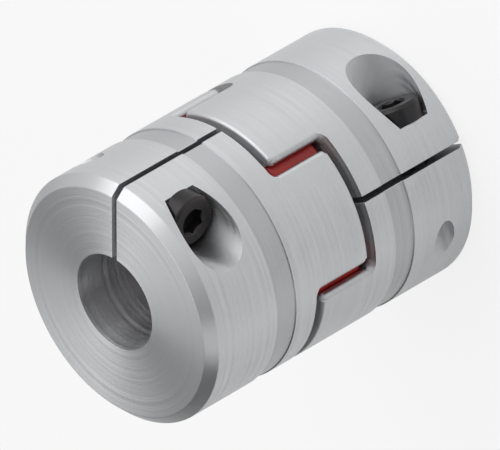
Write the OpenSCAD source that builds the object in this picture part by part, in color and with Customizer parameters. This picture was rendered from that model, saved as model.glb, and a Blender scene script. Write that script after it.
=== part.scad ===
// Elastomer jaw coupling for two shafts: two alike clamping hubs, a spider between their jaws, two screws.
// It stands on the lower hub's end face. Its axis is Z, and the origin is where the axis meets that face.

/* [Hubs] */
// Outside diameter of both hubs
hub_d = 65; // [62:0.5:72]
// Length of each hub, from its end face to the root face between its jaws
hub_len = 35; // [30:0.5:50]
// Shaft bore of both hubs
bore_d = 25; // [12:0.5:30]
// 45 degree chamfer at each end face
end_chamfer = 2.5; // [1:0.1:3.5]
// Width of the shallow groove around each hub
groove_w = 6.3; // [3:0.1:7]
// Depth of the groove
groove_depth = 0.35; // [0.2:0.05:1]
// Width of the plain collar between the groove and the root face
collar_w = 6.7; // [4:0.1:8]
// Width of the clamp slit
slit_w = 1.5; // [1:0.1:3]

/* [Jaws] */
// Distance between the two root faces
root_gap = 20; // [17:0.5:30]
// Gap from a jaw's tip to the root face that it points at
tip_gap = 2.5; // [2.2:0.1:4]
// Clear width between the lips of two neighbouring jaws
lip_gap = 2.75; // [2:0.05:4]
// Radius of the round lip along each jaw's outer edges
lip_r = 1.5; // [1:0.1:2]
// Rounding of the outer edge at a jaw's tip
tip_r = 0.8; // [0.4:0.1:1.2]
// Fillet at the foot of a jaw
foot_r = 2; // [1:0.1:2.1]

/* [Spider] */
// Diameter of each round pad
pad_d = 10.3; // [9:0.1:11]
// Rounding of the pads' end edges
pad_edge_r = 1; // [0.5:0.1:1.5]
// Width of the necks that carry the pads
neck_w = 5.6; // [4:0.1:6.5]
// Hole in the middle of the spider
eye_d = 27; // [20:0.5:30]
// Outside diameter of the spider's ring
ring_d = 35.5; // [33:0.5:37]
// How far the ring stands back from the pads' ends
ring_setback = 1.5; // [0:0.1:3]

/* [Clamp screws] */
// Thread diameter
screw_d = 8; // [6:0.5:8.5]
// Length under the head
screw_len = 25; // [20:1:28]
// Head diameter
head_d = 13; // [10:0.5:14]
// Head height
head_h = 5; // [4:0.1:6]
// Chamfer at the head's edge and at the screw's end
screw_chamfer = 0.7; // [0.3:0.1:1]
// Hexagon socket across its flats
socket_af = 6; // [4:0.5:7]
// Depth of the socket
socket_depth = 3; // [2:0.1:3.5]
// Distance of the screw from the hub's end face
screw_from_end = 11.5; // [10:0.1:13.5]
// Depth of the screw's axis below the hub's outside
screw_inset = 7.5; // [6.5:0.1:9.5]
// Distance of the head's seat from the middle of the slit
seat_from_slit = 10; // [8:0.5:12]
// Diameter of the pocket around the head
pocket_d = 15; // [14:0.5:16]

/* [Clearances] */
// Between pads or necks and the jaws around them
pad_clear = 0.05; // [0.02:0.01:0.2]
// Between the spider's ring and the inside of the jaws
ring_clear = 0.5; // [0.2:0.1:1]
// Around the thread in the hole under the head
shank_clear = 0.5; // [0.2:0.1:1]
// Around the thread's core in the tapped hole
core_clear = 0.05; // [0.02:0.01:0.1]

/* [Hidden] */
$fn = 96;
jaws = 3;
arc_steps = 10;
// How far a cut runs past the face that it opens, and how deep an added piece is set into its carrier
over = 2;
embed = 0.5;
// The lips are this much fuller than the faces that they run into, so that no two round faces are tangent
lip_proud = 0.02;
// For the same reason a lip's foot lies lower than the flank's foot, and runs on under it, in degrees
foot_drop = 0.02;
foot_lap = 3;
// How far the flank's foot ends short of the corner at the neck, in degrees
foot_end = 2;
// Depth of a metric coarse thread, as a share of its diameter, down to the drill for it
thread_share = 0.15;

pitch = 180 / jaws;
hub_r = hub_d / 2;
jaw_len = root_gap - tip_gap;
total_len = 2 * hub_len + root_gap;
pad_len = root_gap - 2 * tip_gap;

// Seen along the axis, with a pad's mid-line as X: the centre of the lip beside it, then the pad's centre,
// placed so that the hollow flank around the pad runs into the lip
flank_r = pad_d / 2 + pad_clear;
lip_y = lip_gap / 2 + lip_r;
lip_x = sqrt(pow(hub_r - lip_r, 2) - pow(lip_y, 2));
pad_x = lip_x - sqrt(pow(flank_r + lip_r, 2) - pow(lip_y, 2));
slot_half = neck_w / 2 + pad_clear;
jaw_inner_r = ring_d / 2 + ring_clear;

screw_offset = hub_r - screw_inset;
tap_d = screw_d * (1 - thread_share);
core_d = tap_d - 2 * core_clear;
clear_d = screw_d + 2 * shank_clear;
socket_d = socket_af / cos(30);
// The socket's mouth is countersunk to just past the hexagon's corners
mouth_over = 0.1;
mouth_d = socket_d + 2 * mouth_over;

// Points of an arc about c, from angle a to angle b
function arc(c, r, a, b) = [for (i = [0:arc_steps]) let (t = a + (b - a) * i / arc_steps)
    c + r * [cos(t), sin(t)]];

// Puts a hub's own pieces at the top of the coupling, end face up
module at_top() {
    translate([0, 0, total_len]) rotate([0, 180, 0]) children();
}

// Puts a hub's own pieces at the foot of the coupling, one jaw pitch round
module at_foot() {
    rotate(-pitch) children();
}

// Puts a piece modelled along Z on the clamp screw's axis, with Z = 0 in the slit and the head below
module on_screw_axis() {
    translate([0, screw_offset, screw_from_end]) rotate([0, 90, 0]) children();
}

// Repeats a feature made beside a pad's mid-line on both edges of a jaw that lies along X
module both_edges() {
    rotate(pitch / 2) children();
    mirror([0, 1]) rotate(pitch / 2) children();
}

// Turned blank of a hub: end chamfer, clamping length, groove and collar
module hub_blank() {
    groove_top = hub_len - collar_w;
    rotate_extrude() polygon([
        [0, 0],
        [hub_r - end_chamfer, 0],
        [hub_r, end_chamfer],
        [hub_r, groove_top - groove_w],
        [hub_r - groove_depth, groove_top - groove_w],
        [hub_r - groove_depth, groove_top],
        [hub_r, groove_top],
        [hub_r, hub_len],
        [0, hub_len]
    ]);
}

// Section of a jaw along X, without its round lips: a wedge with a hollow for each pad and neck beside it
module jaw_section() {
    far = 2 * hub_r;
    lip = [lip_x, -lip_y];
    on_outside = lip * hub_r / (hub_r - lip_r);
    on_flank = [pad_x, 0] + (lip - [pad_x, 0]) * flank_r / (flank_r + lip_r);
    difference() {
        polygon([[0, 0], far * [cos(pitch / 2), -sin(pitch / 2)], far * [cos(pitch / 2), sin(pitch / 2)]]);
        circle(r = jaw_inner_r);
        both_edges() {
            translate([pad_x, 0]) circle(r = flank_r);
            translate([0, -slot_half]) square([pad_x, 2 * slot_half]);
            polygon([[pad_x, 0], on_flank, on_outside, 2 * on_outside, [far, 0]]);
        }
    }
}

// Round lip beside a pad's mid-line, with a round end at the jaw's tip
module lip() {
    r = lip_r + lip_proud;
    translate([lip_x, -lip_y]) rotate_extrude() polygon(concat(
        [[0, -embed], [r, -embed]],
        arc([0, jaw_len - r], r, 0, 90)
    ));
}

// Fillet at the foot of a lip and of the hollow flank beside it
module foot() {
    flank_turn = atan2(lip_y, lip_x - pad_x);
    lip_turn = atan2(lip_y, lip_x);
    slot_turn = asin(slot_half / flank_r);
    lip_toe = lip_r + foot_r;
    flank_toe = flank_r - foot_r;
    translate([lip_x, -lip_y, -foot_drop]) rotate(-lip_turn)
        rotate_extrude(angle = 180 - flank_turn + lip_turn + foot_lap) polygon(concat(
            [[0, foot_r], [0, -embed], [lip_toe, -embed]],
            arc([lip_toe, foot_r], foot_r, -90, -180)
        ));
    translate([pad_x, 0]) rotate(slot_turn + foot_end - 180)
        rotate_extrude(angle = 180 - slot_turn - foot_end - flank_turn) polygon(concat(
            [[flank_r + embed, foot_r], [flank_r + embed, -embed], [flank_toe, -embed]],
            arc([flank_toe, foot_r], foot_r, -90, 0)
        ));
}

// Envelope of the jaws above the root face, with the rounded edge at their tips
module jaw_envelope() {
    rotate_extrude() polygon(concat(
        [[0, -embed], [hub_r, -embed]],
        arc([hub_r - tip_r, jaw_len - tip_r], tip_r, 0, 90),
        [[0, jaw_len]]
    ));
}

// The jaws of a hub, standing on the plane Z = 0
module hub_jaws() {
    intersection() {
        jaw_envelope();
        for (i = [0:jaws - 1]) rotate(90 - pitch + 2 * pitch * i) {
            translate([0, 0, -embed]) linear_extrude(jaw_len + 2 * embed) jaw_section();
            both_edges() {
                lip();
                foot();
            }
        }
    }
}

// Cuts for the clamp screw: pocket for the head, clear hole up to the slit, tapped hole through the far side
module screw_cuts() {
    on_screw_axis() {
        translate([0, 0, -hub_d]) cylinder(d = pocket_d, h = hub_d - seat_from_slit);
        translate([0, 0, -seat_from_slit - over]) cylinder(d = clear_d, h = seat_from_slit + over);
        cylinder(d = tap_d, h = hub_d);
    }
}

// One clamping hub, end face down on Z = 0, with its slit towards +Y
module hub() {
    difference() {
        union() {
            hub_blank();
            translate([0, 0, hub_len]) hub_jaws();
        }
        translate([0, 0, -over]) cylinder(d = bore_d, h = hub_len + 2 * over);
        translate([-slit_w / 2, 0, -over]) cube([slit_w, hub_d, hub_len + 2 * over]);
        screw_cuts();
    }
}

// Low-head socket screw in its hub
module clamp_screw() {
    head_top = -seat_from_slit - head_h;
    screw_end = screw_len - seat_from_slit;
    on_screw_axis() difference() {
        rotate_extrude() polygon([
            [0, head_top],
            [head_d / 2 - screw_chamfer, head_top],
            [head_d / 2, head_top + screw_chamfer],
            [head_d / 2, -seat_from_slit],
            [screw_d / 2, -seat_from_slit],
            [screw_d / 2, 0],
            [core_d / 2, 0],
            [core_d / 2, screw_end - screw_chamfer],
            [core_d / 2 - screw_chamfer, screw_end],
            [0, screw_end]
        ]);
        translate([0, 0, head_top - over]) rotate(90)
            cylinder(d = socket_d, h = socket_depth + over, $fn = 6);
        translate([0, 0, head_top]) cylinder(d1 = mouth_d, d2 = 0, h = mouth_d / 2);
    }
}

module upper_hub() {
    color("silver") at_top() hub();
}

module lower_hub() {
    color("silver") at_foot() hub();
}

// Repeats a feature at each pad of the spider
module each_pad() {
    for (i = [0:2 * jaws - 1]) rotate(pitch * i) children();
}

// Section of the spider's ring and necks
module ring_section() {
    difference() {
        union() {
            circle(d = ring_d);
            each_pad() translate([0, -neck_w / 2]) square([pad_x, neck_w]);
        }
        circle(d = eye_d);
    }
}

// Moulded spider: ring, necks and pads in one piece
module spider() {
    ring_w = pad_len - 2 * ring_setback;
    color("firebrick") translate([0, 0, total_len / 2]) union() {
        linear_extrude(ring_w, center = true) ring_section();
        each_pad() translate([pad_x, 0, 0]) rotate_extrude() polygon(concat(
            [[0, -pad_len / 2]],
            arc([pad_d / 2 - pad_edge_r, pad_edge_r - pad_len / 2], pad_edge_r, -90, 0),
            arc([pad_d / 2 - pad_edge_r, pad_len / 2 - pad_edge_r], pad_edge_r, 0, 90),
            [[0, pad_len / 2]]
        ));
    }
}

module upper_clamp_screw() {
    color("dimgray") at_top() clamp_screw();
}

module lower_clamp_screw() {
    color("dimgray") at_foot() clamp_screw();
}

upper_hub();
lower_hub();
spider();
upper_clamp_screw();
lower_clamp_screw();
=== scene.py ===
"""Dresses a shaft coupling: two clamping hubs, the elastomer spider between their jaws and two clamp screws.

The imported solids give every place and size. The hubs get broken edges and cut threads, the spider its
moulded edges, the screws their threads and sockets, and each finish is a node material.
"""
import math

import bmesh
import bpy
from bpy.props import FloatProperty, FloatVectorProperty, IntProperty, PointerProperty
from mathutils import Matrix, Vector


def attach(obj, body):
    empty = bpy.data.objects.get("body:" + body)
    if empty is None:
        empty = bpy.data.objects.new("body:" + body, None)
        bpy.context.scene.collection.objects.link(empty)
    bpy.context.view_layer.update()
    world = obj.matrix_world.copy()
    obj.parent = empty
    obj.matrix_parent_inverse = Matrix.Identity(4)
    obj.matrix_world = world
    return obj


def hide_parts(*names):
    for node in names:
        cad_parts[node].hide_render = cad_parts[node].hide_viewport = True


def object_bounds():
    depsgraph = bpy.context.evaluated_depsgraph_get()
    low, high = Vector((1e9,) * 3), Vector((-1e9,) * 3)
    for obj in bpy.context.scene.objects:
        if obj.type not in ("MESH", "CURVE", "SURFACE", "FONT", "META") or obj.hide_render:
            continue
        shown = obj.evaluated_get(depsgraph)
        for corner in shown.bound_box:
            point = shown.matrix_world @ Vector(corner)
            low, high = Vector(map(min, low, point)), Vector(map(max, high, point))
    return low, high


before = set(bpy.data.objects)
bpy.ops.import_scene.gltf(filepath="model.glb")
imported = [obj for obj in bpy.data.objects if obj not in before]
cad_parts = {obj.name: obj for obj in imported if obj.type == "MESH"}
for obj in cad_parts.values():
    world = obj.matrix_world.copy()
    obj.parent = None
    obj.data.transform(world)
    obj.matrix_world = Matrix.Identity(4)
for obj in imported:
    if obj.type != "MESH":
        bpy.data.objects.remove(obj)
CAD_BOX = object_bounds()
CAD_MIDDLE = (CAD_BOX[0] + CAD_BOX[1]) / 2

bl_info = {
    "name": "Shaft Coupling",
    "version": (1, 0, 0),
    "blender": (4, 5, 0),
    "location": "View3D > Sidebar > Coupling",
    "description": "Finishes the hubs, spider and clamp screws of a shaft coupling",
    "category": "Add Mesh",
}

MM = 0.001

# Points closer than this are one point; the finer values clean up after cuts and bevels
MERGE = 0.005 * MM
CUT_MERGE = MERGE / 5
EDGE_MERGE = MERGE / 10
# Triangles that meet at less than this angle, in degrees, are one face
FLAT_DEGREES = 0.1
# How far a cutter reaches past what it cuts
SPARE = 1 * MM

# A hub's own frame: end face on Z = 0, jaws up, slit towards +Y; the screw lies along X
HUB_LEN = 35 * MM
GROOVE_R = 32.15 * MM
JAW_INNER_R = 18 * MM
SCREW_Y = 25 * MM
SCREW_Z = 11.5 * MM
POCKET_R = 7.5 * MM
# Round the axis, in degrees: the first jaw's middle, the way to the next jaw, and half the width of a foot
FIRST_JAW, JAW_PITCH, FOOT_REACH = 30, 120, 33
AT_TOP = Matrix.Translation((0, 0, CAD_BOX[1].z)) @ Matrix.Rotation(math.pi, 4, "Y")
AT_FOOT = Matrix.Rotation(math.radians(-JAW_PITCH / 2), 4, "Z")
ON_SCREW_AXIS = Matrix.Translation((0, SCREW_Y, SCREW_Z)) @ Matrix.Rotation(math.pi / 2, 4, "Y")
PLACES = {"upper": AT_TOP, "lower": AT_FOOT}

# How far the normal of a turned face leans along the axis: cylinders, flat ends and 45 degree chamfers
TURNED_LEANS = (0, 1, math.sqrt(0.5))
LEAN_SLACK = 0.004
# How far that normal may lean around the axis
SIDE_SLACK = 0.05

# Half the width of the spider's ring
RING_HALF = 6 * MM

# A screw's own frame: axis Z, zero in the middle of the slit, head below
HEAD_TOP = -15 * MM
SEAT_Z = -10 * MM
THREAD_START = SEAT_Z + 0.8 * MM
SCREW_END = 15 * MM
# How far within the thread's root the rim of the screw's blunt end lies
BLUNT_END = 0.6 * MM
TAP_START = 0.2 * MM
TAP_END = 14.3 * MM
HEAD_R = 6.5 * MM
HEAD_CHAMFER = 0.7 * MM
HEAD_EDGE = 0.12 * MM
SOCKET_R = 3 * MM / math.cos(math.pi / 6)
SOCKET_DEPTH = 3 * MM
MOUTH_R = SOCKET_R + 0.1 * MM
DRILL_R = 2.9 * MM
DRILL_POINT = 0.8 * MM
# Faces around turned pieces, and around threads and the drill
TURN_STEPS = 96
THREAD_STEPS = 48

# The stage, in metres and watts
WHITE = (1.0, 1.0, 1.0, 1.0)
FLOOR_SIZE = 8.0
# Share of plain white in the floor, as the camera and as the metal sees it
WHITE_TO_CAMERA, WHITE_TO_METAL = 0.8, 0.35
# The room is brightest on this side
BRIGHT_SIDE = (-0.42, 0.85, 0.3)
# Soft lights: direction from the coupling, distance, diameter and power
LIGHTS = {
    "key": ((-0.37, 0.79, 0.5), 0.7, 0.75, 1.5),
    "fill": ((0.78, -0.4, 0.45), 0.8, 0.5, 0.7),
    "top": ((-0.3, -0.25, 1.0), 0.8, 0.7, 0.9),
}
# The camera's axes, its sensor in millimetres, and how far the view's centre lies off the coupling's
VIEW_RIGHT = Vector((1, 0, -1)).normalized()
VIEW_UP = Vector((-1, 2, -1)).normalized()
VIEW_BACK = Vector((1, 1, 1)).normalized()
SENSOR = 36.0
OFF_RIGHT, OFF_UP = 0.19 * MM, -0.07 * MM


def deselect():
    """Leaves edit mode and selects nothing."""
    if bpy.context.mode != "OBJECT":
        bpy.ops.object.mode_set(mode="OBJECT")
    bpy.ops.object.select_all(action="DESELECT")


def activate(piece):
    """Makes a piece the only selected object."""
    deselect()
    piece.select_set(True)
    bpy.context.view_layer.objects.active = piece


def edit_all(piece):
    """Opens a piece in edit mode with all of its mesh selected."""
    activate(piece)
    bpy.ops.object.mode_set(mode="EDIT")
    bpy.ops.mesh.select_mode(type="VERT")
    bpy.ops.mesh.select_all(action="SELECT")


def close_shell():
    """Merges the doubles of the mesh in edit mode, points its faces outwards and leaves edit mode."""
    bpy.ops.mesh.select_all(action="SELECT")
    bpy.ops.mesh.remove_doubles(threshold=MERGE)
    bpy.ops.mesh.normals_make_consistent(inside=False)
    bpy.ops.object.mode_set(mode="OBJECT")


def draw_line(name, points):
    """Draws an open line through (radius, height) points in the XZ plane, vertex after vertex."""
    deselect()
    bpy.ops.mesh.primitive_plane_add(size=MM)
    piece = bpy.context.object
    piece.name = piece.data.name = name
    edit_all(piece)
    bpy.ops.mesh.merge(type="CENTER")
    at = Vector((0, 0, 0))
    for i, (r, z) in enumerate(points):
        step = Vector((r, 0, z)) - at
        if i == 0:
            bpy.ops.transform.translate(value=step)
        else:
            bpy.ops.mesh.extrude_region_move(TRANSFORM_OT_translate={"value": step})
        at += step
    return piece


def turn(name, points, steps):
    """Turns a line whose ends lie on the axis into a closed body of revolution."""
    piece = draw_line(name, points)
    bpy.ops.mesh.select_all(action="SELECT")
    bpy.ops.mesh.spin(steps=steps, angle=math.tau, center=(0, 0, 0), axis=(0, 0, 1), use_auto_merge=True)
    close_shell()
    return piece


def apply_modifier(piece, kind, **values):
    """Adds a modifier with the given values to a piece and applies it."""
    activate(piece)
    modifier = piece.modifiers.new(kind.title(), kind)
    for key, value in values.items():
        setattr(modifier, key, value)
    bpy.ops.object.modifier_apply(modifier=modifier.name)


def combine(piece, other, operation):
    """Cuts, adds or intersects another mesh, removes it and dissolves the slivers that this leaves."""
    apply_modifier(piece, "BOOLEAN", object=other, operation=operation, solver="EXACT")
    bpy.data.objects.remove(other, do_unlink=True)
    edit_all(piece)
    bpy.ops.mesh.dissolve_degenerate(threshold=CUT_MERGE)
    bpy.ops.object.mode_set(mode="OBJECT")


def place(piece, matrix):
    """Moves a piece's mesh into the coupling's frame and leaves its object at the origin."""
    piece.matrix_world = matrix
    activate(piece)
    bpy.ops.object.transform_apply(location=True, rotation=True, scale=True)


def smooth(piece, degrees):
    """Shades a piece smooth except along its sharper edges, with its wide faces kept flat."""
    activate(piece)
    bpy.ops.object.shade_smooth_by_angle(angle=math.radians(degrees))
    apply_modifier(piece, "WEIGHTED_NORMAL", mode="FACE_AREA", weight=50, keep_sharp=True)


def threaded_rod(name, crest_r, root_r, thread_pitch, low, high):
    """Makes a rod with a metric thread between two heights on its axis, cut flat at both ends."""
    crest, root = thread_pitch / 8, thread_pitch / 4
    flank = (thread_pitch - crest - root) / 2
    start = math.floor(low / thread_pitch - 1) * thread_pitch
    rod = draw_line(name, [
        (root_r, start),
        (root_r, start + root),
        (crest_r, start + root + flank),
        (crest_r, start + root + flank + crest),
        (root_r, start + thread_pitch),
    ])
    bpy.ops.object.mode_set(mode="OBJECT")
    turns = math.ceil((high - start) / thread_pitch) + 1
    apply_modifier(rod, "SCREW", axis="Z", angle=math.tau, screw_offset=thread_pitch, iterations=turns,
                   steps=THREAD_STEPS, render_steps=THREAD_STEPS,
                   use_merge_vertices=True, merge_threshold=MERGE)
    edit_all(rod)
    bpy.ops.mesh.remove_doubles(threshold=MERGE)
    for height, side in ((low, -1), (high, 1)):
        bpy.ops.mesh.select_all(action="SELECT")
        bpy.ops.mesh.bisect(plane_co=(0, 0, height), plane_no=(0, 0, side), use_fill=True,
                            clear_outer=True, threshold=EDGE_MERGE)
    close_shell()
    return rod


def copy_of(node, name):
    """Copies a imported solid's mesh into a new piece and merges its loose triangles."""
    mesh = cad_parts[node].data.copy()
    mesh.name = name
    piece = bpy.data.objects.new(name, mesh)
    bpy.context.scene.collection.objects.link(piece)
    edit_all(piece)
    bpy.ops.mesh.customdata_custom_splitnormals_clear()
    bpy.ops.mesh.remove_doubles(threshold=MERGE)
    bpy.ops.mesh.dissolve_limited(angle_limit=math.radians(FLAT_DEGREES))
    close_shell()
    return piece


def break_edges(piece, width, segments, sharp_degrees, wanted):
    """Rounds a piece's sharp outer edges whose both ends are wanted, and leaves the new faces selected."""
    edit_all(piece)
    bpy.ops.mesh.select_mode(type="EDGE")
    bpy.ops.mesh.select_all(action="DESELECT")
    mesh = bmesh.from_edit_mesh(piece.data)
    limit = math.radians(sharp_degrees)
    for edge in mesh.edges:
        if edge.is_convex and edge.calc_face_angle() > limit:
            edge.select_set(all(wanted(v.co) for v in edge.verts))
    bmesh.update_edit_mesh(piece.data)
    bpy.ops.mesh.bevel(offset=width, offset_type="OFFSET", segments=segments, affect="EDGES",
                       clamp_overlap=False, loop_slide=True)
    bpy.ops.mesh.remove_doubles(threshold=EDGE_MERGE, use_unselected=True)
    bpy.ops.mesh.dissolve_degenerate(threshold=EDGE_MERGE)
    bpy.ops.object.mode_set(mode="OBJECT")


def is_turned(face, out):
    """Tells whether a face, with the direction from the axis to it, was turned on the lathe."""
    lean = abs(face.normal.z)
    if not any(abs(lean - turned) < LEAN_SLACK for turned in TURNED_LEANS):
        return False
    around = Vector((-out.y, out.x, 0))
    return lean > 1 - LEAN_SLACK or abs(face.normal.dot(around)) <= SIDE_SLACK


def true_turned_faces(piece):
    """Gives flat ends, cylinders and 45 degree chamfers about the axis their exact normals.

    The faces that bevelling left selected take over the normals of the turned faces beside them.
    """
    mesh = piece.data
    normals = [Vector(corner.vector) for corner in mesh.corner_normals]
    beside = {}
    for face in mesh.polygons:
        normal = face.normal
        out = Vector((face.center.x, face.center.y, 0)).normalized()
        if face.select or not is_turned(face, out):
            continue
        slope = math.copysign(math.sqrt(max(0.0, 1 - normal.z ** 2)), normal.dot(out))
        for loop in face.loop_indices:
            vertex = mesh.loops[loop].vertex_index
            co = mesh.vertices[vertex].co
            exact = Vector((co.x, co.y, 0)).normalized() * slope + Vector((0, 0, normal.z))
            normals[loop] = exact.normalized()
            beside.setdefault(vertex, []).append(normals[loop])
    for face in mesh.polygons:
        if face.select:
            for loop in face.loop_indices:
                known = beside.get(mesh.loops[loop].vertex_index)
                if known:
                    normals[loop] = max(known, key=face.normal.dot)
    mesh.normals_split_custom_set(normals)


def near_jaw(co):
    """Tells whether a point in a hub's own frame lies on a jaw's foot or within it."""
    round_axis = math.degrees(math.atan2(co.y, co.x)) - FIRST_JAW
    from_jaw = abs((round_axis + JAW_PITCH / 2) % JAW_PITCH - JAW_PITCH / 2)
    return math.hypot(co.x, co.y) > JAW_INNER_R and from_jaw < FOOT_REACH


def finish_piece(piece, node, material):
    """Gives a piece its material and its place in the frame's table."""
    piece.data.materials.clear()
    piece.data.materials.append(material)
    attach(piece, "root")
    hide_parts(node)


def set_at_both_ends(model, in_hub, finish, node, material):
    """Splits a finished model, given with its place in a hub, into triangles and copies it to both hubs."""
    apply_modifier(model, "TRIANGULATE", keep_custom_normals=True)
    for side, matrix in PLACES.items():
        piece = bpy.data.objects.new("_".join((side, node, finish)), model.data.copy())
        piece.data.name = piece.name
        bpy.context.scene.collection.objects.link(piece)
        place(piece, matrix @ in_hub)
        finish_piece(piece, side + "_" + node, material)
    bpy.data.objects.remove(model, do_unlink=True)


# Node helpers

def fill_inputs(tree, node, values):
    """Sets a node's inputs, each to a value or to another node's output."""
    for key, value in values.items():
        if isinstance(value, bpy.types.NodeSocket):
            tree.links.new(value, node.inputs[key])
        else:
            node.inputs[key].default_value = value


def add_node(tree, kind, values=None, **settings):
    """Adds a node and sets its properties and its inputs."""
    node = tree.nodes.new(kind)
    for key, value in settings.items():
        setattr(node, key, value)
    fill_inputs(tree, node, values or {})
    return node


def math_node(tree, operation, *values):
    """Adds a Math node and gives its output."""
    return add_node(tree, "ShaderNodeMath", dict(enumerate(values)), operation=operation).outputs[0]


def vector_math(tree, operation, *values):
    """Adds a Vector Math node and gives its vector output, or its value where it has one."""
    node = add_node(tree, "ShaderNodeVectorMath", dict(enumerate(values)), operation=operation)
    return node.outputs["Value" if operation in ("DOT_PRODUCT", "LENGTH") else "Vector"]


def ramp(tree, value, low, high, to_low=0.0, to_high=1.0):
    """Maps a value smoothly from one range to another."""
    return add_node(tree, "ShaderNodeMapRange", {
        "Value": value, "From Min": low, "From Max": high, "To Min": to_low, "To Max": to_high,
    }, interpolation_type="SMOOTHSTEP").outputs["Result"]


def noise(tree, values, dimensions="3D"):
    """Adds a noise texture and gives its value."""
    return add_node(tree, "ShaderNodeTexNoise", values, noise_dimensions=dimensions).outputs["Fac"]


def mix_value(tree, factor, first, second):
    """Mixes two values by a factor."""
    return add_node(tree, "ShaderNodeMix", {0: factor, 2: first, 3: second}, data_type="FLOAT").outputs[0]


def mix_colour(tree, factor, first, second):
    """Mixes two colours by a factor."""
    return add_node(tree, "ShaderNodeMix", {0: factor, 6: first, 7: second}, data_type="RGBA").outputs[2]


def bump(tree, height, strength, depth):
    """Gives the normals of a surface with a pattern of heights on it."""
    values = {"Height": height, "Strength": strength, "Distance": depth}
    return add_node(tree, "ShaderNodeBump", values).outputs["Normal"]


def object_coords(tree):
    """Gives the place on the piece, in the coupling's frame."""
    return tree.nodes.new("ShaderNodeTexCoord").outputs["Object"]


def face_normal(tree):
    """Gives the direction of the face."""
    return tree.nodes.new("ShaderNodeNewGeometry").outputs["True Normal"]


def opaque(colour, factor=1.0):
    """Makes a colour lighter or darker by a factor, no lighter than white, and gives it an alpha of one."""
    return tuple(min(1.0, factor * channel) for channel in colour) + (1.0,)


def new_group(name, inputs, outputs):
    """Makes a shader node group with float inputs, given as name and default, and named outputs."""
    tree = bpy.data.node_groups.new(name, "ShaderNodeTree")
    for socket, value in inputs.items():
        tree.interface.new_socket(socket, in_out="INPUT", socket_type="NodeSocketFloat").default_value = value
    for socket in outputs:
        tree.interface.new_socket(socket, in_out="OUTPUT", socket_type="NodeSocketFloat")
    return tree, tree.nodes.new("NodeGroupInput").outputs, tree.nodes.new("NodeGroupOutput").inputs


def use_group(tree, group, values=None):
    """Places a node group in a tree and gives its outputs."""
    return add_node(tree, "ShaderNodeGroup", values, node_tree=group).outputs


def new_material(name):
    """Makes an empty node material and gives it with its tree and its Principled shader."""
    material = bpy.data.materials.new(name)
    material.use_nodes = True
    tree = material.node_tree
    tree.nodes.clear()
    shader = tree.nodes.new("ShaderNodeBsdfPrincipled")
    add_node(tree, "ShaderNodeOutputMaterial", {"Surface": shader.outputs["BSDF"]})
    return material, tree, shader


def edge_wear_and_highlight_group():
    """A mask along outer edges, broken up by noise: real rubbed wear on the screws, partly burnished wear and
    partly a painted highlight on the hubs.
    """
    tree, given, put = new_group("Edge wear and highlight", {"Reach": 0.3 * MM, "Break-up": 0.4}, ["Mask"])
    coords = object_coords(tree)
    normal = face_normal(tree)
    rounded = add_node(tree, "ShaderNodeBevel", {"Radius": given["Reach"]}, samples=4).outputs["Normal"]
    edge = ramp(tree, vector_math(tree, "DOT_PRODUCT", rounded, normal), 0.995, 0.82)
    kept = ramp(tree, noise(tree, {"Vector": coords, "Scale": 900.0, "Detail": 3.0}), 0.35, 0.6)
    gone = math_node(tree, "MULTIPLY", math_node(tree, "SUBTRACT", 1.0, kept), given["Break-up"])
    tree.links.new(math_node(tree, "MULTIPLY", edge, math_node(tree, "SUBTRACT", 1.0, gone)), put["Mask"])
    return tree


def tool_marks_group():
    """Heights of turning marks around the coupling's axis, and of mill marks on the other faces; also bands
    for painted sheen, a mask of the turned faces and one of the groove's floor for painted shade.
    """
    tree, given, put = new_group("Tool marks", {"Feed": 0.45 * MM, "Groove radius": GROOVE_R},
                                 ["Height", "Sheen", "Turned", "Groove"])
    coords = object_coords(tree)
    normal = face_normal(tree)
    split = add_node(tree, "ShaderNodeSeparateXYZ", {0: coords}).outputs
    flat = add_node(tree, "ShaderNodeCombineXYZ", {"X": split["X"], "Y": split["Y"]}).outputs[0]
    radius = vector_math(tree, "LENGTH", flat)
    around = vector_math(tree, "NORMALIZE", vector_math(tree, "CROSS_PRODUCT", (0, 0, 1), flat))
    across = math_node(tree, "ABSOLUTE", vector_math(tree, "DOT_PRODUCT", normal, around))
    turned = ramp(tree, across, 0.35, 0.12)
    path = math_node(tree, "DIVIDE", math_node(tree, "ADD", radius, split["Z"]), given["Feed"])
    rings = noise(tree, {"W": path, "Scale": 1.0, "Detail": 4.0, "Roughness": 0.65}, "1D")
    stretch = vector_math(tree, "MULTIPLY", coords, (2500.0, 2500.0, 90.0))
    streaks = noise(tree, {"Vector": stretch, "Scale": 1.0, "Detail": 3.0})
    milled = math_node(tree, "MULTIPLY", streaks, 0.2)
    height = mix_value(tree, turned, milled, rings)
    # Bands along the turning path: painted sheen in the hub's colour, and uneven roughness
    painted_sheen_bands = noise(tree, {"W": math_node(tree, "MULTIPLY", path, 0.35), "Scale": 1.0, "Detail": 4.0}, "1D")
    outward = vector_math(tree, "DOT_PRODUCT", normal, vector_math(tree, "NORMALIZE", flat))
    # The groove's floor, where the hub's colour is painted with shade
    in_groove = math_node(tree, "COMPARE", radius, given["Groove radius"], 0.2 * MM)
    groove = math_node(tree, "MULTIPLY", in_groove, math_node(tree, "GREATER_THAN", outward, 0.95))
    tree.links.new(groove, put["Groove"])
    tree.links.new(height, put["Height"])
    tree.links.new(painted_sheen_bands, put["Sheen"])
    tree.links.new(turned, put["Turned"])
    return tree


def smudges_group():
    """A soft, cloudy mask for the uneven gloss of a handled surface."""
    tree, given, put = new_group("Smudges", {"Scale": 60.0}, ["Mask"])
    coords = object_coords(tree)
    clouds = noise(tree, {"Vector": coords, "Scale": given["Scale"], "Detail": 4.0, "Distortion": 0.6})
    tree.links.new(ramp(tree, clouds, 0.3, 0.7), put["Mask"])
    return tree


def shared_group(name, build):
    """Gives a node group, built at its first use."""
    return bpy.data.node_groups.get(name) or build()


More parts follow.
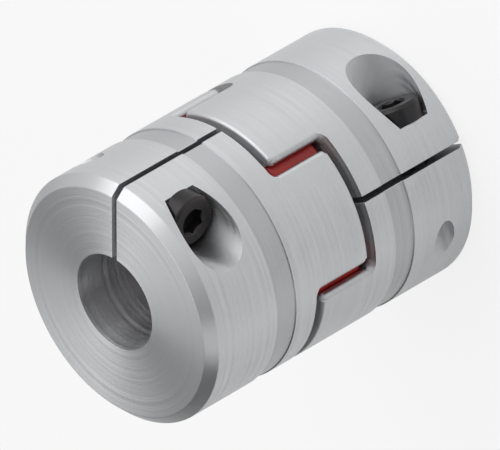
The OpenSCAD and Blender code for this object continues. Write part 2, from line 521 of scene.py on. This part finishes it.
def aluminium_material(look):
    """Satin turned aluminium: rings around the axis with bands of painted sheen, a groove floor darkened as
    painted shade, and broken edges painted brighter as a highlight that is partly burnished wear.
    """
    material, tree, shader = new_material("hub_turned_aluminium")
    marks = use_group(tree, shared_group("Tool marks", tool_marks_group), {"Feed": look.feed})
    edge_wear_and_highlight = use_group(tree, shared_group("Edge wear and highlight", edge_wear_and_highlight_group))["Mask"]
    cloud = use_group(tree, shared_group("Smudges", smudges_group))["Mask"]
    # Painted sheen: bands along the turning marks blend a darker and a plain copy of the metal's colour
    body = mix_colour(tree, marks["Sheen"], opaque(look.metal, 0.88), opaque(look.metal))
    # Painted shade: the groove's floor is darkened towards a dark copy of the metal's colour
    in_groove = math_node(tree, "MULTIPLY", marks["Groove"], 0.5)
    body = mix_colour(tree, in_groove, body, opaque(look.metal, 0.6))
    # Painted highlight: the broken edges are lightened, partly as burnished wear
    worn_and_highlighted = mix_colour(tree, edge_wear_and_highlight, body, opaque(look.metal, 1.08))
    turned = ramp(tree, marks["Sheen"], 0.25, 0.75, to_low=0.33, to_high=0.45)
    smudged = math_node(tree, "ADD", turned, math_node(tree, "MULTIPLY", cloud, 0.05))
    not_turned = math_node(tree, "SUBTRACT", 1.0, marks["Turned"])
    milled = math_node(tree, "MULTIPLY", not_turned, 0.08)
    fill_inputs(tree, shader, {
        "Base Color": worn_and_highlighted,
        "Roughness": math_node(tree, "ADD", smudged, milled),
        "Normal": bump(tree, marks["Height"], 0.8, 0.05 * MM),
        "Metallic": 1.0,
        "Anisotropic": 0.8,
        "Anisotropic Rotation": 0.25,
        "Tangent": add_node(tree, "ShaderNodeTangent", direction_type="RADIAL", axis="Z").outputs["Tangent"],
    })
    return material


def elastomer_material(look):
    """Moulded polyurethane with a faint mottle and a satin skin."""
    material, tree, shader = new_material("spider_polyurethane")
    coords = object_coords(tree)
    cloud = use_group(tree, shared_group("Smudges", smudges_group), {"Scale": 140.0})["Mask"]
    grain = noise(tree, {"Vector": coords, "Scale": 3500.0, "Detail": 3.0})
    fill_inputs(tree, shader, {
        "Base Color": mix_colour(tree, cloud, opaque(look.colour, 0.8), opaque(look.colour)),
        "Roughness": ramp(tree, cloud, 0.0, 1.0, to_low=0.38, to_high=0.5),
        "Normal": bump(tree, grain, 0.35, 0.02 * MM),
        "Subsurface Weight": 0.08,
        "Subsurface Radius": (1.2 * MM, 0.3 * MM, 0.2 * MM),
        "Subsurface Scale": 1.0,
    })
    return material


def steel_material(look):
    """Black-oxide steel, rubbed brighter along its edges."""
    material, tree, shader = new_material("screw_black_oxide")
    coords = object_coords(tree)
    rubbing = {"Reach": 0.22 * MM, "Break-up": 0.7}
    edge_wear_and_highlight = use_group(tree, shared_group("Edge wear and highlight", edge_wear_and_highlight_group), rubbing)["Mask"]
    cloud = use_group(tree, shared_group("Smudges", smudges_group), {"Scale": 220.0})["Mask"]
    grain = noise(tree, {"Vector": coords, "Scale": 2600.0, "Detail": 4.0})
    brown = (look.oxide[0] * 1.5, look.oxide[1] * 1.3, look.oxide[2] * 1.2)
    body = mix_colour(tree, cloud, opaque(look.oxide), opaque(brown))
    rubbed = math_node(tree, "MULTIPLY", edge_wear_and_highlight, 0.55)
    fill_inputs(tree, shader, {
        "Base Color": mix_colour(tree, rubbed, body, opaque(look.bare)),
        "Roughness": ramp(tree, cloud, 0.0, 1.0, to_low=0.3, to_high=0.42),
        "Metallic": ramp(tree, edge_wear_and_highlight, 0.0, 1.0, to_low=0.75, to_high=1.0),
        "Normal": bump(tree, grain, 0.3, 0.015 * MM),
    })
    return material


class CouplingHubLook(bpy.types.PropertyGroup):
    """Sizes and colours of the hubs' finish."""
    edge_break: FloatProperty(name="Edge break", description="Width of the rounding along the machined edges",
                              default=0.2 * MM, min=0.05 * MM, max=0.5 * MM, precision=5, unit="LENGTH")
    edge_steps: IntProperty(name="Edge steps", description="Faces across each broken edge",
                            default=2, min=1, max=4)
    feed: FloatProperty(name="Tool feed", description="Spacing of the turning marks",
                        default=0.45 * MM, min=0.1 * MM, max=2 * MM, precision=5, unit="LENGTH")
    metal: FloatVectorProperty(name="Aluminium", description="Colour of the bare turned metal",
                               default=(0.72, 0.73, 0.745), min=0.0, max=1.0, subtype="COLOR")


class CouplingSpiderLook(bpy.types.PropertyGroup):
    """Sizes and colours of the spider."""
    edge_round: FloatProperty(name="Edge rounding", description="Rounding of the ring's and necks' edges",
                              default=0.4 * MM, min=0.1 * MM, max=1 * MM, precision=5, unit="LENGTH")
    colour: FloatVectorProperty(name="Elastomer", description="Colour of the polyurethane",
                                default=(0.40, 0.018, 0.014), min=0.0, max=1.0, subtype="COLOR")


class CouplingScrewLook(bpy.types.PropertyGroup):
    """Sizes and colours of the clamp screws."""
    crest_r: FloatProperty(name="Crest radius", description="Radius at the crest of the thread",
                           default=3.95 * MM, min=2 * MM, max=6 * MM, precision=5, unit="LENGTH")
    root_r: FloatProperty(name="Root radius", description="Radius at the root of the thread",
                          default=3.25 * MM, min=1.5 * MM, max=5 * MM, precision=5, unit="LENGTH")
    pitch: FloatProperty(name="Pitch", description="Rise of the thread in one turn",
                         default=1.25 * MM, min=0.5 * MM, max=2 * MM, precision=5, unit="LENGTH")
    tap_room: FloatProperty(name="Thread room", description="Gap between the threads of screw and hole",
                            default=0.06 * MM, min=0.02 * MM, max=0.2 * MM, precision=5, unit="LENGTH")
    oxide: FloatVectorProperty(name="Black oxide", description="Colour of the oxide skin",
                               default=(0.035, 0.035, 0.038), min=0.0, max=1.0, subtype="COLOR")
    bare: FloatVectorProperty(name="Bare steel", description="Colour where the skin is rubbed through",
                              default=(0.42, 0.41, 0.40), min=0.0, max=1.0, subtype="COLOR")


class CouplingStageLook(bpy.types.PropertyGroup):
    """Floor, lights and camera."""
    floor: FloatVectorProperty(name="Floor", description="Colour of the floor",
                               default=(0.9, 0.9, 0.9), min=0.0, max=1.0, subtype="COLOR")
    lens: FloatProperty(name="Lens", description="Focal length of the camera, in millimetres",
                        default=1300.0, min=50.0, max=2000.0, unit="CAMERA")
    view_width: FloatProperty(name="View width", description="Width that the camera takes in at the coupling",
                              default=0.11874, min=0.05, max=1.0, precision=5, unit="LENGTH")


class COUPLING_OT_hubs(bpy.types.Operator):
    """Finish one hub, with its thread cut and its machined edges broken, and copy it to both ends"""
    bl_idname = "coupling.hubs"
    bl_label = "Hubs"

    def execute(self, context):
        look, screw = context.scene.coupling_hubs, context.scene.coupling_screws
        hub = copy_of("lower_hub", "hub")
        place(hub, AT_FOOT.inverted())
        tap = threaded_rod("tap", screw.crest_r + screw.tap_room, screw.root_r + screw.tap_room, screw.pitch,
                           TAP_START, TAP_END)
        place(tap, ON_SCREW_AXIS)
        combine(hub, tap, "DIFFERENCE")
        thread_zone = screw.crest_r + screw.tap_room + look.edge_break
        pocket_zone = POCKET_R + look.edge_break

        def machined(co):
            if co.z > HUB_LEN - MERGE and near_jaw(co):
                return False
            from_screw = math.hypot(co.y - SCREW_Y, co.z - SCREW_Z)
            return co.z < HUB_LEN + MERGE and from_screw > (thread_zone if co.x > 0 else pocket_zone)

        break_edges(hub, look.edge_break, look.edge_steps, sharp_degrees=40, wanted=machined)
        smooth(hub, degrees=35)
        true_turned_faces(hub)
        set_at_both_ends(hub, Matrix(), "finished", "hub", aluminium_material(look))
        return {"FINISHED"}


class COUPLING_OT_spider(bpy.types.Operator):
    """Finish the spider: round the moulded edges of its ring and necks"""
    bl_idname = "coupling.spider"
    bl_label = "Spider"

    def execute(self, context):
        look = context.scene.coupling_spider
        piece = copy_of("spider", "spider_moulded")

        def on_ring_face(co):
            return abs(abs(co.z - CAD_MIDDLE.z) - RING_HALF) < MERGE

        break_edges(piece, look.edge_round, segments=3, sharp_degrees=40, wanted=on_ring_face)
        smooth(piece, degrees=42)
        finish_piece(piece, "spider", elastomer_material(look))
        return {"FINISHED"}


class COUPLING_OT_screws(bpy.types.Operator):
    """Model one clamp screw, head, socket and thread, and copy it into both hubs"""
    bl_idname = "coupling.screws"
    bl_label = "Clamp screws"

    def execute(self, context):
        look = context.scene.coupling_screws
        head = turn("screw_head", [
            (0, HEAD_TOP),
            (HEAD_R - HEAD_CHAMFER, HEAD_TOP),
            (HEAD_R, HEAD_TOP + HEAD_CHAMFER),
            (HEAD_R, SEAT_Z),
            (look.root_r, SEAT_Z),
            (look.root_r, THREAD_START + look.pitch),
            (0, THREAD_START + look.pitch),
        ], TURN_STEPS)
        self.cut_socket(head)

        def on_head_edge(co):
            return co.z < SEAT_Z + MERGE and math.hypot(co.x, co.y) > HEAD_R - HEAD_CHAMFER - MERGE

        break_edges(head, HEAD_EDGE, segments=2, sharp_degrees=30, wanted=on_head_edge)
        shank = threaded_rod("screw_shank", look.crest_r, look.root_r, look.pitch, THREAD_START, SCREW_END)
        blunt = look.crest_r - look.root_r + BLUNT_END
        envelope = turn("envelope", [
            (0, THREAD_START - SPARE),
            (look.crest_r + SPARE, THREAD_START - SPARE),
            (look.crest_r + SPARE, SCREW_END - blunt - SPARE),
            (look.crest_r - blunt, SCREW_END),
            (0, SCREW_END),
        ], TURN_STEPS)
        combine(shank, envelope, "INTERSECT")
        combine(head, shank, "UNION")
        smooth(head, degrees=42)
        set_at_both_ends(head, ON_SCREW_AXIS, "threaded", "clamp_screw", steel_material(look))
        return {"FINISHED"}

    @staticmethod
    def cut_socket(head):
        """Cuts the hexagon socket, its countersunk mouth and its drilled floor."""
        deselect()
        bpy.ops.mesh.primitive_cylinder_add(vertices=6, radius=SOCKET_R, depth=2 * SOCKET_DEPTH,
                                            location=(0, 0, HEAD_TOP))
        hexagon = bpy.context.object
        bpy.ops.object.transform_apply(location=True)
        mouth = turn("socket_mouth", [
            (0, HEAD_TOP - SPARE),
            (MOUTH_R + SPARE, HEAD_TOP - SPARE),
            (0, HEAD_TOP + MOUTH_R),
        ], TURN_STEPS)
        drill = turn("socket_drill", [
            (0, HEAD_TOP),
            (DRILL_R, HEAD_TOP),
            (DRILL_R, HEAD_TOP + SOCKET_DEPTH),
            (0, HEAD_TOP + SOCKET_DEPTH + DRILL_POINT),
        ], THREAD_STEPS)
        for cutter in (hexagon, mouth, drill):
            combine(head, cutter, "DIFFERENCE")


class COUPLING_OT_stage(bpy.types.Operator):
    """Set the pale floor, the soft lights and the camera"""
    bl_idname = "coupling.stage"
    bl_label = "Stage"

    def execute(self, context):
        look = context.scene.coupling_stage
        self.lay_floor(look)
        self.set_world(context.scene)
        self.aim_camera(context.scene, look)
        self.hang_lights(context.scene)
        context.scene.view_settings.view_transform = "Standard"
        return {"FINISHED"}

    @staticmethod
    def lay_floor(look):
        """Lays a wide floor that looks white to the camera and keeps the coupling's shadow."""
        deselect()
        bpy.ops.mesh.primitive_plane_add(size=FLOOR_SIZE)
        floor = bpy.context.object
        floor.name = floor.data.name = "floor"
        bpy.ops.object.mode_set(mode="EDIT")
        bpy.ops.mesh.subdivide(number_cuts=7)
        bpy.ops.object.mode_set(mode="OBJECT")
        material, tree, shader = new_material("pale_floor")
        fill_inputs(tree, shader, {
            "Base Color": opaque(look.floor),
            "Roughness": 0.9,
            "Specular IOR Level": 0.0,
        })
        path = tree.nodes.new("ShaderNodeLightPath").outputs
        by_camera = math_node(tree, "MULTIPLY", path["Is Camera Ray"], WHITE_TO_CAMERA)
        by_metal = math_node(tree, "MULTIPLY", path["Is Glossy Ray"], WHITE_TO_METAL)
        white = add_node(tree, "ShaderNodeEmission", {"Color": WHITE, "Strength": 1.0})
        mixed = add_node(tree, "ShaderNodeMixShader", {
            0: math_node(tree, "ADD", by_camera, by_metal),
            1: shader.outputs["BSDF"],
            2: white.outputs[0],
        })
        fill_inputs(tree, tree.nodes["Material Output"], {"Surface": mixed.outputs[0]})
        floor.data.materials.append(material)

    @staticmethod
    def set_world(scene):
        """Surrounds the coupling with a soft grey room, white to the camera."""
        world = bpy.data.worlds.new("studio")
        scene.world = world
        world.use_nodes = True
        tree = world.node_tree
        tree.nodes.clear()
        coords = tree.nodes.new("ShaderNodeTexCoord").outputs["Generated"]
        towards_key = vector_math(tree, "DOT_PRODUCT", coords, BRIGHT_SIDE)
        room = ramp(tree, towards_key, -0.6, 0.8, to_low=0.08, to_high=0.8)
        path = tree.nodes.new("ShaderNodeLightPath").outputs
        strength = mix_value(tree, path["Is Camera Ray"], room, 1.0)
        light = add_node(tree, "ShaderNodeBackground", {"Color": WHITE, "Strength": strength})
        add_node(tree, "ShaderNodeOutputWorld", {"Surface": light.outputs[0]})

    @staticmethod
    def aim_camera(scene, look):
        """Sets the camera on the equal-angle view of the three axes."""
        data = bpy.data.cameras.new("camera")
        camera = bpy.data.objects.new("camera", data)
        scene.collection.objects.link(camera)
        data.sensor_width = SENSOR
        data.lens = look.lens
        distance = look.view_width * look.lens / data.sensor_width
        data.clip_start, data.clip_end = 0.1, 3 * distance
        centre = CAD_MIDDLE + VIEW_RIGHT * OFF_RIGHT + VIEW_UP * OFF_UP
        turned = Matrix((VIEW_RIGHT, VIEW_UP, VIEW_BACK)).transposed()
        camera.matrix_world = Matrix.Translation(centre + VIEW_BACK * distance) @ turned.to_4x4()
        scene.camera = camera

    @staticmethod
    def hang_lights(scene):
        """Hangs soft lights around the coupling: a key at the view's upper left, a fill and a top light."""
        for name, (towards, distance, size, power) in LIGHTS.items():
            data = bpy.data.lights.new(name, "AREA")
            data.shape = "DISK"
            data.size = size
            data.energy = power
            lamp = bpy.data.objects.new(name, data)
            scene.collection.objects.link(lamp)
            direction = Vector(towards).normalized()
            turned = direction.to_track_quat("Z", "Y").to_matrix().to_4x4()
            lamp.matrix_world = Matrix.Translation(CAD_MIDDLE + direction * distance) @ turned


class COUPLING_PT_panel(bpy.types.Panel):
    """Lists the coupling's pieces with their sizes and colours"""
    bl_idname = "COUPLING_PT_panel"
    bl_label = "Shaft Coupling"
    bl_space_type = "VIEW_3D"
    bl_region_type = "UI"
    bl_category = "Coupling"

    def draw(self, context):
        for operator, group in OPERATORS:
            box = self.layout.box()
            box.operator(operator.bl_idname)
            look = getattr(context.scene, group)
            for key in look.bl_rna.properties.keys():
                if key not in ("rna_type", "name"):
                    box.prop(look, key)


LOOKS = {
    "coupling_hubs": CouplingHubLook,
    "coupling_spider": CouplingSpiderLook,
    "coupling_screws": CouplingScrewLook,
    "coupling_stage": CouplingStageLook,
}
OPERATORS = (
    (COUPLING_OT_hubs, "coupling_hubs"),
    (COUPLING_OT_spider, "coupling_spider"),
    (COUPLING_OT_screws, "coupling_screws"),
    (COUPLING_OT_stage, "coupling_stage"),
)
CLASSES = (*LOOKS.values(), *(operator for operator, group in OPERATORS), COUPLING_PT_panel)


def register():
    """Registers the classes and hangs the looks on the scene."""
    for cls in CLASSES:
        bpy.utils.register_class(cls)
    for group, cls in LOOKS.items():
        setattr(bpy.types.Scene, group, PointerProperty(type=cls))


def unregister():
    """Takes the looks off the scene and unregisters the classes."""
    for group in LOOKS:
        delattr(bpy.types.Scene, group)
    for cls in reversed(CLASSES):
        bpy.utils.unregister_class(cls)


def main():
    """Registers the classes and builds the dressed coupling: stage, hubs, spider and screws."""
    register()
    bpy.ops.coupling.stage()
    bpy.ops.coupling.hubs()
    bpy.ops.coupling.spider()
    bpy.ops.coupling.screws()
    deselect()


if __name__ == "__main__":
    main()
